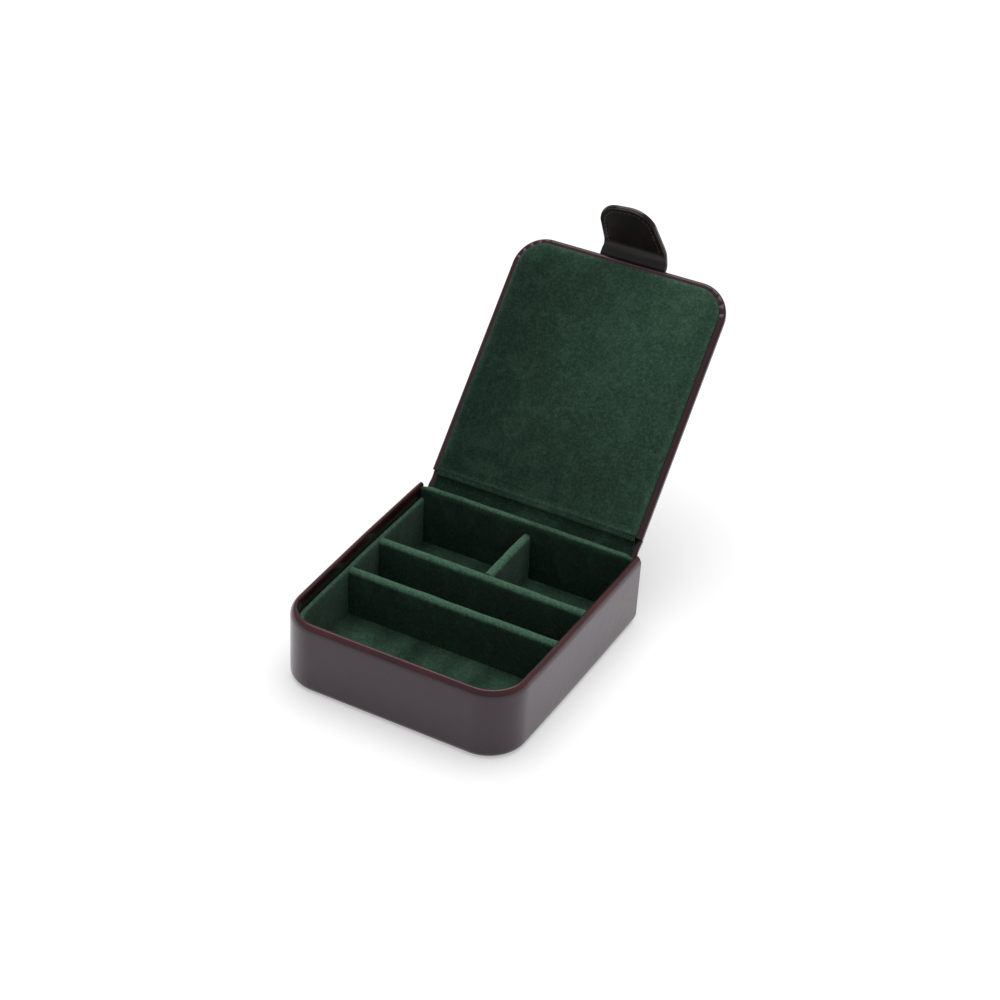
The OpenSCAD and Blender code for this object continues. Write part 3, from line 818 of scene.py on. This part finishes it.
class BOX_OT_dividers(bpy.types.Operator):
    """The three suede-covered dividers"""

    bl_idname = "box.dividers"
    bl_label = "Dividers"

    def execute(self, context):
        tray = context.scene.box_tray
        height = tray.lining_h - FLOOR_TOP
        for seed, (name, y) in enumerate(DIVIDERS.items()):
            section = [(y + a, FLOOR_TOP - DIVIDER_SINK + z) for a, z in arch(tray.divider_t, height)]
            reach = (tray.front_w / 2 - LINING_FACE + (y + tray.depth / 2) * math.tan(flare_of(tray))
                     + tray.side_bow)
            obj = along_x(name, section, -reach, reach, 70)
            shape(obj, self.waver(seed * 7 + 51, y, 0))
            self.dress(obj, [name + "_suede", name + "_core"], tray)
        y0 = DIVIDERS["rear_divider"] + tray.divider_t / 2 - 0.15 * MM
        y1 = REAR_FACE_Y + 0.1 * MM
        obj = ring("centre_divider", [
            (CENTRE_X + a, y0, FLOOR_TOP - DIVIDER_SINK + z) for a, z in arch(tray.divider_t, height)])
        edit(obj)
        bpy.ops.mesh.edge_face_add()
        for _ in range(26):
            pull(y=(y1 - y0) / 26)
        stop()
        outwards(obj)
        shape(obj, self.waver(77, CENTRE_X, 1))
        self.dress(obj, ["centre_divider_suede", "centre_divider_core"], tray)
        return {"FINISHED"}

    @staticmethod
    def waver(seed, centre, axis):
        """A covered card that isn't quite straight, and a softer foot than top."""
        across = 1 - axis

        def move(co):
            out = co.copy()
            line = co * ((1, 0, 0) if axis == 0 else (0, 1, 0))
            up = (co[:, 2] - FLOOR_TOP) / (21.4 * MM)
            out[:, across] += ripple(line, 44 * MM, seed) * 0.22 * MM * ease(up)
            out[:, 2] += ease((up - 0.6) / 0.4) * ripple(line, 19 * MM, seed + 1) * 0.13 * MM
            thick = 1 + 0.05 * ripple(co, 15 * MM, seed + 2)
            out[:, across] = centre + (out[:, across] - centre) * thick
            return out
        return move

    @staticmethod
    def dress(obj, nodes, tray):
        # Lighter along the tops: raised nap with a painted highlight where light falls on them.
        paint(obj, "nap_and_sheen", lambda co: 0.08 + ease((co[:, 2] - tray.lining_h + 2.3 * MM) / (1.6 * MM)) * 0.87)
        smooth(obj)
        place(obj, "tray", "suede", nodes)


# Hinge.


def spine_path(low, high, side=0.0):
    """Points of the spine's mid-line in the open box, from one height of the closed spine to another."""
    z = np.linspace(low, high, 8)
    co = np.stack([0 * z, 0 * z + FOLD_Y - side, z], 1)
    co = open_spine(co)
    return [(y, z) for _, y, z in co]


class BOX_OT_hinge(bpy.types.Operator):
    """Leather and suede of the two folds between tray and lid"""

    bl_idname = "box.hinge"
    bl_label = "Hinge"

    def execute(self, context):
        lid = context.scene.box_lid
        half = lid.half_w
        middle = (FOLD_Z + UPPER_FOLD_Z) / 2
        bend = 0.9 * MM
        # Outer leather over the lower fold.
        low = [(FOLD_Y, FOLD_Z - 1.02 * MM), (FOLD_Y, FOLD_Z - bend)]
        low += self.rounded(low[-1], spine_path(FOLD_Z + bend, middle)[0], (FOLD_Y, FOLD_Z))
        low += spine_path(FOLD_Z + bend, middle)[1:]
        self.leather_strip("hinge_leather_low", low, half, "tray", "spine",
                           (FOLD_Z - 0.8 * MM, FOLD_Z + 1.6 * MM), ["spine_leather"])
        high = spine_path(middle, UPPER_FOLD_Z + 1.2 * MM)
        self.leather_strip("hinge_leather_high", high, half, "spine", "lid",
                           (UPPER_FOLD_Z - 1.6 * MM, UPPER_FOLD_Z + 0.8 * MM), [])
        # Suede inside the folds.
        side = LEATHER_T / 2 + SUEDE_T / 2
        valley = [(53.3 * MM, 30.0 * MM), (54.2 * MM, 29.5 * MM), (55.2 * MM, 28.7 * MM),
                  (56.2 * MM, 28.3 * MM)]
        low = self.curve(valley + spine_path(FOLD_Z + 5.6 * MM, middle + 1.5 * MM, side), 3)
        self.suede_strip("hinge_suede_low", low, lid.pad_half_w, "tray", "spine",
                         ((0, 53.8 * MM, 29.6 * MM), (0, 57.0 * MM, 28.6 * MM)), ["spine_suede"], 0.0)
        roll = np.array([(0, y * MM, z * MM) for y, z in (
            (53.75, 33.3), (53.95, 32.6), (53.7, 32.0), (53.0, 31.65), (52.2, 31.6), (51.6, 31.8))])
        high = self.curve(
            spine_path(middle + 1.5 * MM, UPPER_FOLD_Z - 2.2 * MM, side)[::2]
            + [(y, z) for _, y, z in open_lid(roll)], 3)
        ends = (open_spine(np.array([[0, FOLD_Y - side, UPPER_FOLD_Z - 2.4 * MM]]))[0], open_lid(roll)[0])
        self.suede_strip("hinge_suede_high", high, lid.pad_half_w - 0.2 * MM, "spine", "lid", ends, [], 0.25)
        return {"FINISHED"}

    @staticmethod
    def curve(points, cuts):
        """A smooth line through the points, with this many steps between each two."""
        p = np.array([2 * np.array(points[0]) - points[1], *points, 2 * np.array(points[-1]) - points[-2]])
        out = []
        for a, b, c, d in zip(p, p[1:], p[2:], p[3:]):
            for t in np.arange(cuts) / cuts:
                out.append(0.5 * (2 * b + (c - a) * t + (2 * a - 5 * b + 4 * c - d) * t * t
                                  + (3 * b - a - 3 * c + d) * t ** 3))
        return [tuple(q) for q in out] + [tuple(points[-1])]

    @staticmethod
    def rounded(a, b, corner, n=6):
        """Points between a and b on a curve that passes near their corner."""
        t = np.linspace(0, 1, n + 1)[1:]
        return [
            ((1 - k) ** 2 * a[0] + 2 * k * (1 - k) * corner[0] + k * k * b[0],
             (1 - k) ** 2 * a[1] + 2 * k * (1 - k) * corner[1] + k * k * b[1]) for k in t
        ]

    @staticmethod
    def leather_strip(name, path, half, a, b, heights, nodes):
        obj = along_x(name, strip(path, LEATHER_T), -half, half, 48)
        pinch = np.array(path).mean(0)

        def gather(co):
            """The strip's ends draw in a little, as a saddle."""
            out = co.copy()
            end = ease((np.abs(co[:, 0]) - half + 5 * MM) / (5 * MM))
            fold = np.exp(-((co[:, 1] - pinch[0]) / (2.5 * MM)) ** 2)
            out[:, 0] -= np.sign(co[:, 0]) * end * fold * 0.5 * MM
            return out

        shape(obj, gather)
        paint(obj, "wear_and_highlight", lambda co: ease((np.abs(co[:, 0]) - half + 1.6 * MM) / (1.4 * MM)) * 0.35)
        smooth(obj, 50)
        ends = open_spine(np.array([[0, FOLD_Y, z] for z in heights]))
        if a == "tray":
            ends[0] = (0, FOLD_Y, heights[0])
        place(obj, (a, b), "leather", nodes, ends)

    @staticmethod
    def suede_strip(name, path, half, a, b, ends, nodes, nap_and_sheen):
        obj = along_x(name, strip(path, SUEDE_T), -half, half, 60)

        def waver(co):
            out = co.copy()
            out[:, 1] += ripple(co * (1, 0, 0), 15 * MM, 62) * 0.12 * MM
            out[:, 2] += ripple(co * (1, 0, 0), 22 * MM, 63) * 0.08 * MM
            return out

        crest = path[0] if not nap_and_sheen else tuple(open_lid(np.array([[0, 53.7 * MM, 31.9 * MM]]))[0][1:])

        def raised_and_lit(co):
            """Painted highlight along the crest of the fold, over a slow random nap tone."""
            near = np.hypot(co[:, 1] - crest[0], co[:, 2] - crest[1])
            return nap_and_sheen * 1.8 * np.exp(-(near / (0.9 * MM)) ** 2) + 0.08 * ripple(co, 18 * MM, 61)

        paint(obj, "nap_and_sheen", raised_and_lit)
        shape(obj, waver)
        smooth(obj, 50)
        place(obj, (a, b), "suede", nodes, ends)


# Lid.


class BOX_OT_lid_cover(bpy.types.Operator):
    """Leather of the lid: outer face, rounded edge, turned-in border with gathered corners"""

    bl_idname = "box.lid_cover"
    bl_label = "Lid cover"

    def execute(self, context):
        lid = context.scene.box_lid
        low_r, top_r, turn = 1.3 * MM, 1.5 * MM, 8 * MM
        end = FOLD_Y - 1.2 * MM
        section = (
            [(turn, BORDER_Z), (5 * MM, BORDER_Z), (3.2 * MM, BORDER_Z), (2.2 * MM, BORDER_Z)]
            + arc((low_r, BORDER_Z + low_r), low_r, 270, 180, 8)
            + arc((top_r, LID_TOP_Z - top_r), top_r, 180, 90, 8)
            + [(3.5 * MM, LID_TOP_Z), (turn, LID_TOP_Z), (turn, LID_SKIN_Z),
               (LEATHER_T, LID_SKIN_Z), (LEATHER_T, LID_BOARD_Z), (turn, LID_BOARD_Z)]
        )
        obj = sweep_round("lid_cover", section, lid.half_w, lid.front_y, lid.corner_r, 0.0, end,
                          steps=(30, 72, 40))
        plate = ring("lid_plate", [(x, y, LID_SKIN_Z) for x, y in closed_plan(
            lid.half_w - turn + MM, lid.front_y + turn - MM, end, lid.corner_r - turn + MM)])
        edit(plate)
        bpy.ops.mesh.edge_face_add()
        pull(z=LEATHER_T)
        stop()
        outwards(plate)
        modifier(obj, "BOOLEAN", operation="UNION", object=plate, solver="EXACT")
        bpy.data.objects.remove(plate)
        shape(obj, self.gathers(lid))
        paint(obj, "wear_and_highlight", lambda co: 0.30 * ease((BORDER_Z + 1.2 * MM - co[:, 2]) / (1.2 * MM)))
        shape(obj, open_lid)
        smooth(obj, 50)
        place(obj, "lid", "leather", ["lid_leather"])
        return {"FINISHED"}

    @staticmethod
    def gathers(lid):
        """Small pleats where the leather is turned in round the two front corners."""
        cx, cy = lid.half_w - lid.corner_r, lid.front_y + lid.corner_r

        def move(co):
            out = co.copy()
            dx, dy = np.abs(co[:, 0]) - cx, co[:, 1] - cy
            angle = np.degrees(np.arctan2(-dy, dx))
            corner = (dx > 0) & (dy < 0)
            amount = ease(angle / 12) * ease((90 - angle) / 12) * corner
            fold = np.abs(np.sin(np.radians(angle * 10.5))) ** 0.7
            under = ease((BORDER_Z + 1.4 * MM - co[:, 2]) / (1.2 * MM))
            radius = np.hypot(dx, dy)
            inner = ease((lid.corner_r - radius) / (1.2 * MM))
            out[:, 2] += amount * under * (1 - fold) * (0.12 * MM + 0.30 * MM * inner)
            return out
        return move


class BOX_OT_pad(bpy.types.Operator):
    """The lid's suede pad over foam, with a rounded edge and a low crown"""

    bl_idname = "box.pad"
    bl_label = "Lid pad"

    def execute(self, context):
        lid = context.scene.box_lid
        front = lid.front_y + PAD_INSET
        obj = ring("lid_pad", [(x, y, BORDER_Z - 0.01 * MM) for x, y in closed_plan(
            lid.pad_half_w, front, LID_STACK_Y, lid.corner_r - 2.7 * MM, 20)])
        edit(obj)
        bpy.ops.mesh.edge_face_add()
        pull(z=-(PAD_EDGE_T - 0.6 * MM))
        profile = [(0, 0.6)] + [
            (0.6 * (1 - math.cos(math.radians(a))), 0.6 + 0.6 * math.sin(math.radians(a)))
            for a in (30, 60, 90)
        ]
        crown = lid.pad_crown / MM
        profile += [
            (0.6 + (PAD_SHOULDER / MM - 0.6) * (1 - math.cos(math.radians(a))),
             1.2 + crown * math.sin(math.radians(a)))
            for a in (12, 22, 32, 42, 52, 62, 72, 82, 90)
        ]
        for (a, da), (b, db) in zip(profile, profile[1:]):
            bpy.ops.mesh.inset(thickness=(b - a) * MM, depth=0)
            bpy.ops.transform.translate(value=(0, 0, -(db - da) * MM))
        stop()
        outwards(obj)
        limit = PAD_CLEAR_Y - 0.3 * MM

        def keep_flat_at_hinge(co):
            out = co.copy()
            t = np.clip((limit - co[:, 1]) / PAD_SHOULDER, 0, 1)
            allowed = lid.pad_crown * np.sqrt(1 - (1 - t) ** 2)
            out[:, 2] = np.maximum(co[:, 2], BORDER_Z - PAD_EDGE_T - allowed)
            return out

        shape(obj, keep_flat_at_hinge)
        # Painted sheen on the pad's edges, top and right side, with brushed nap.
        paint(obj, "nap_and_sheen", self.nap_and_sheen(lid))
        shape(obj, open_lid)
        smooth(obj, 60)
        place(obj, "lid", "suede",
              ["lid_pad_suede", "lid_pad_foam", "lid_pad_card"])
        return {"FINISHED"}

    @staticmethod
    def nap_and_sheen(lid):
        """Lighter round the edge, along the top and down the right side: partly brushed nap, partly a
        painted sheen where light falls on the pad.
        """
        def amount(co):
            x, y = co[:, 0], co[:, 1]
            edge = np.minimum(lid.pad_half_w - np.abs(x), y - lid.front_y - PAD_INSET)
            waver = ripple(co, 30 * MM, 71) * 5 * MM
            right = ease((x - 22 * MM + waver) / (22 * MM))
            top = ease((-36 * MM - y + waver) / (14 * MM))
            return (0.20 * ease((3 * MM - edge) / (3 * MM)) + 0.26 * right + 0.26 * top * (0.6 + 0.4 * right)
                    + 0.05 * ripple(co, 24 * MM, 72))
        return amount


# Tab.


def tab_outline(lid, s):
    """Half width of the tab at a length s from its fold."""
    root, tip, r = lid.tab_root_w / 2, lid.tab_tip_w / 2, 10 * MM
    flat_end = lid.tab_len - r
    side = root + (tip - root) * np.clip(s / flat_end, 0, 1)
    side = side + 0.35 * MM * ease(1 - s / (4 * MM))
    over = np.clip(s - flat_end, 0, r)
    return np.where(s > flat_end, tip - r + np.sqrt(np.clip(r ** 2 - over ** 2, 0, None)), side)


def tab_point(x, s, d):
    """A point of the tab in the closed lid: across, along from the fold, and in from mid-thickness."""
    lean = math.radians(TAB_LEAN)
    bend = math.radians(TAB_BEND)
    s = s + x * math.sin(lean) * ease(s / (8 * MM))
    x = x - np.clip(s, 0, None) * math.tan(lean)
    a = np.clip(s / TAB_BEND_R, 0, bend)
    straight = np.clip(s - TAB_BEND_R * bend, 0, None)
    r = TAB_BEND_R - d
    y = TAB_FOLD[0] - r * np.sin(a) - straight * np.cos(a) - np.clip(s, None, 0)
    z = TAB_FOLD[1] - TAB_BEND_R + r * np.cos(a) - straight * np.sin(a)
    return np.stack([TAB_X + x, y, z], -1)


def tab_sheet(name, lid, inset, depth, root):
    """A bent tongue of leather between two depths, with softened edges."""
    start()
    bpy.ops.mesh.primitive_grid_add(x_subdivisions=22, y_subdivisions=56, size=1)
    obj = bpy.context.object
    obj.name = obj.data.name = name
    thick = depth[1] - depth[0]
    end = lid.tab_len - inset

    def spread(co):
        v = co[:, 1] + 0.5
        s = root + (end - root) * np.sin(v * math.pi / 2) ** 0.9
        half = tab_outline(lid, np.clip(s + inset * (s > 15 * MM), None, lid.tab_len)) - inset
        return np.stack([co[:, 0] * 2 * np.clip(half, 1.5 * MM, None), s, 0 * s], 1)

    shape(obj, spread)
    modifier(obj, "SOLIDIFY", thickness=thick, offset=0)
    modifier(obj, "BEVEL", width=min(0.32 * MM, thick * 0.4), segments=3, limit_method="ANGLE",
             angle_limit=math.radians(50))
    middle = (depth[0] + depth[1]) / 2
    crease = 0.30 * MM

    def bend(co):
        d = middle + co[:, 2]
        d = d + crease * np.exp(-((co[:, 1] - 2.2 * MM) / (0.55 * MM)) ** 2) * (co[:, 2] > 0)
        return tab_point(co[:, 0], co[:, 1], d)

    shape(obj, bend)
    outwards(obj)
    return obj


class BOX_OT_tab(bpy.types.Operator):
    """The closing tab: two layers of leather with a stitched edge"""

    bl_idname = "box.tab"
    bl_label = "Tab"

    def execute(self, context):
        lid = context.scene.box_lid
        ends = open_lid(np.array([
            (TAB_X, TAB_FOLD[0] + away, TAB_FOLD[1]) for away in (TAB_BLEND, -TAB_BLEND)]))
        for name, inset, depth, root, finish, nodes in (
            ("tab_skin", 0.0, (-TAB_HALF_T, TAB_SKIN_D), -5 * MM,
             "leather", ["tab_leather", "tab_root"]),
            ("tab_inside", 0.18 * MM, (TAB_SKIN_D + 0.02 * MM, TAB_HALF_T), -1.4 * MM,
             "tab_lining", ["tab_lining"]),
        ):
            obj = tab_sheet(name, lid, inset, depth, root)
            # Painted highlight along the fold's crease on both layers.
            paint(obj, "wear_and_highlight", self.painted_crease_highlight)
            shape(obj, open_lid)
            smooth(obj, 60)
            place(obj, ("lid", "tab"), finish, nodes, ends)
        self.stitches(lid)
        return {"FINISHED"}

    @staticmethod
    def painted_crease_highlight(co):
        """Painted highlight: a lighter line across the fold, where the crease is."""
        return 0.8 * np.exp(-((co[:, 1] - TAB_FOLD[0] + 2.2 * MM) / (0.35 * MM)) ** 2)

    @staticmethod
    def stitches(lid):
        """One seam near the edge, round the tip and down both sides."""
        inset = 2.0 * MM
        s = np.linspace(5 * MM, lid.tab_len - inset, 400)
        half = tab_outline(lid, np.clip(s + inset * 0.6, None, lid.tab_len)) - inset
        right = np.stack([np.clip(half, 0, None), s], 1)
        tip = np.stack([np.linspace(right[-1, 0], -right[-1, 0], 60), np.full(60, s[-1])], 1)
        left = (right * (-1, 1))[::-1]
        line = np.concatenate([right, tip[1:-1], left])
        run = np.concatenate([[0], np.cumsum(np.linalg.norm(np.diff(line, axis=0), axis=1))])
        pitch = lid.stitch * STITCH_PITCH
        made = []
        for k in range(int(run[-1] / pitch)):
            at = (k + 0.5) * pitch
            where = at + np.array([-0.5, 0.5]) * lid.stitch
            x, y = (np.interp(where, run, line[:, axis]) for axis in (0, 1))
            made.append(open_lid(tab_point(x, y, np.full(2, TAB_HALF_T + 0.06 * MM))))
        start()
        bpy.ops.mesh.primitive_uv_sphere_add(segments=8, ring_count=6, radius=STITCH_R)
        first = bpy.context.object
        copies = []
        for a, b in made:
            copy = first.copy()
            copy.data = first.data.copy()
            bpy.context.scene.collection.objects.link(copy)
            way = Vector(b) - Vector(a)
            turn = way.to_track_quat("X", "Z").to_matrix().to_4x4()
            stretch = Matrix.Diagonal((way.length / (2 * STITCH_R), 1, 0.6, 1))
            copy.data.transform(Matrix.Translation((Vector(a) + Vector(b)) / 2) @ turn @ stretch)
            copies.append(copy)
        bpy.data.objects.remove(first)
        pick(*copies)
        bpy.ops.object.join()
        obj = bpy.context.object
        obj.name = obj.data.name = "tab_stitching"
        smooth(obj, 80)
        place(obj, "tab", "thread")


class BOX_OT_inner_parts(bpy.types.Operator):
    """Finishes of the CAD parts that are carried over as they are"""

    bl_idname = "box.inner_parts"
    bl_label = "Inner parts"

    def execute(self, context):
        finishes = {
            "board": ["base_board", "wall_board", "rear_wall_board", "lid_board"],
            "card": ["floor_card", "wall_lining_card", "lid_infill_card", "lid_pad_card",
                     "front_divider_core", "rear_divider_core", "centre_divider_core"],
            "foam": ["lid_pad_foam"],
            "steel": ["wall_magnet", "tab_magnet"],
            "leather": ["underside_panel"],
        }
        for finish, nodes in finishes.items():
            for node in nodes:
                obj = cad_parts[node]
                obj.data.materials.clear()
                obj.data.materials.append(material(finish))
        return {"FINISHED"}


# Camera and stage.


# The camera was fitted to the box's edges in the photograph. Places are in metres.
EYE, TARGET, ROLL = (0.30995, -0.59030, 0.51082), (-0.01651, 0.06343, 0.02747), 3.49
LENS, SENSOR_W, SHIFT = 76.53, 36, (-0.0015, 0.003)
KEY_PLACE, KEY_SIZE, KEY_POWER = (-0.10, 0.25, 1.40), 1.5, 11.0
FLOOR_SIZE, FLOOR_GLOW, SURROUND_LIGHT = 6, 0.36, 0.42
WHITE = (1, 1, 1, 1)


class BOX_OT_camera(bpy.types.Operator):
    """The camera at the photograph's place"""

    bl_idname = "box.camera"
    bl_label = "Camera"

    def execute(self, context):
        eye, target = Vector(EYE), Vector(TARGET)
        data = bpy.data.cameras.new("photo_camera")
        data.lens, data.sensor_width = LENS, SENSOR_W
        data.clip_start, data.clip_end = 0.01, 20
        data.shift_x, data.shift_y = SHIFT
        camera = bpy.data.objects.new("photo_camera", data)
        context.scene.collection.objects.link(camera)
        back = (eye - target).normalized()
        right = Vector((0, 0, 1)).cross(back).normalized()
        up = back.cross(right)
        roll = math.radians(ROLL)
        side = right * math.cos(roll) + up * math.sin(roll)
        top = up * math.cos(roll) - right * math.sin(roll)
        turn = Matrix((side, top, back)).transposed().to_4x4()
        camera.matrix_world = Matrix.Translation(eye) @ turn
        context.scene.camera = camera
        return {"FINISHED"}


class BOX_OT_stage(bpy.types.Operator):
    """Pale floor, soft lights and a white surround"""

    bl_idname = "box.stage"
    bl_label = "Stage"

    def execute(self, context):
        context.scene.view_settings.view_transform = "Standard"
        start()
        bpy.ops.mesh.primitive_plane_add(size=FLOOR_SIZE)
        floor = bpy.context.object
        floor.name = floor.data.name = "floor"
        s = Shader("floor_white")
        rays = s.add("ShaderNodeLightPath").outputs
        seen = Value(s, rays["Is Camera Ray"]) + Value(s, rays["Is Glossy Ray"])
        colour_4 = (*context.scene.box_look.floor, 1)
        matt = s.add("ShaderNodeBsdfDiffuse", None, {"Color": colour_4})
        white = s.add("ShaderNodeEmission", None, {"Color": WHITE, "Strength": seen * FLOOR_GLOW})
        both = s.add("ShaderNodeAddShader", None, {0: matt.outputs[0], 1: white.outputs[0]})
        floor.data.materials.append(s.close(both))
        self.world(context)
        self.key_light(context)
        return {"FINISHED"}

    @staticmethod
    def key_light(context):
        """A large soft lamp above the box."""
        data = bpy.data.lights.new("key_light", "AREA")
        data.shape, data.size, data.energy = "DISK", KEY_SIZE, KEY_POWER
        lamp = bpy.data.objects.new("key_light", data)
        context.scene.collection.objects.link(lamp)
        lamp.location = KEY_PLACE
        lamp.rotation_mode = "QUATERNION"
        lamp.rotation_quaternion = (-Vector(KEY_PLACE)).to_track_quat("-Z", "Y")

    @staticmethod
    def world(context):
        """White where the camera sees it, and a softer light on the box."""
        s = Shader("soft_surround", "worlds", "ShaderNodeOutputWorld")
        rays = s.add("ShaderNodeLightPath").outputs
        seen = s.add("ShaderNodeMath", {"operation": "MAXIMUM"},
                     {0: rays["Is Camera Ray"], 1: rays["Is Transmission Ray"]})
        strength = s.add("ShaderNodeMapRange", None,
                         {"Value": seen.outputs[0], "To Min": SURROUND_LIGHT, "To Max": 1.0})
        back = s.add("ShaderNodeBackground", None, {"Color": WHITE, "Strength": strength.outputs[0]})
        context.scene.world = s.close(back)


class BOX_PT_panel(bpy.types.Panel):
    """Lists the pieces of the display box"""

    bl_label = "Display box"
    bl_idname = "BOX_PT_panel"
    bl_space_type = "VIEW_3D"
    bl_region_type = "UI"
    bl_category = "Box"

    def draw(self, context):
        for group in ("box_tray", "box_lid", "box_look"):
            box = self.layout.box()
            settings = getattr(context.scene, group)
            for key in type(settings).__annotations__:
                box.prop(settings, key)
        for operator in PIECES:
            self.layout.operator(operator.bl_idname)


PIECES = (
    BOX_OT_camera, BOX_OT_tray_leather, BOX_OT_lining, BOX_OT_dividers, BOX_OT_hinge,
    BOX_OT_lid_cover, BOX_OT_pad, BOX_OT_tab, BOX_OT_inner_parts, BOX_OT_stage,
)
GROUPS = {"box_tray": BoxTray, "box_lid": BoxLid, "box_look": BoxLook}


def register():
    for cls in (*GROUPS.values(), *PIECES, BOX_PT_panel):
        bpy.utils.register_class(cls)
    for name, group in GROUPS.items():
        setattr(bpy.types.Scene, name, PointerProperty(type=group))


def unregister():
    for name in GROUPS:
        delattr(bpy.types.Scene, name)
    for cls in (BOX_PT_panel, *reversed(PIECES), *reversed(GROUPS.values())):
        bpy.utils.unregister_class(cls)


def main():
    register()
    bpy.ops.box.camera()
    bpy.ops.box.tray_leather()
    bpy.ops.box.lining()
    bpy.ops.box.dividers()
    bpy.ops.box.hinge()
    bpy.ops.box.lid_cover()
    bpy.ops.box.pad()
    bpy.ops.box.tab()
    bpy.ops.box.inner_parts()
    bpy.ops.box.stage()


if __name__ == "__main__":
    main()
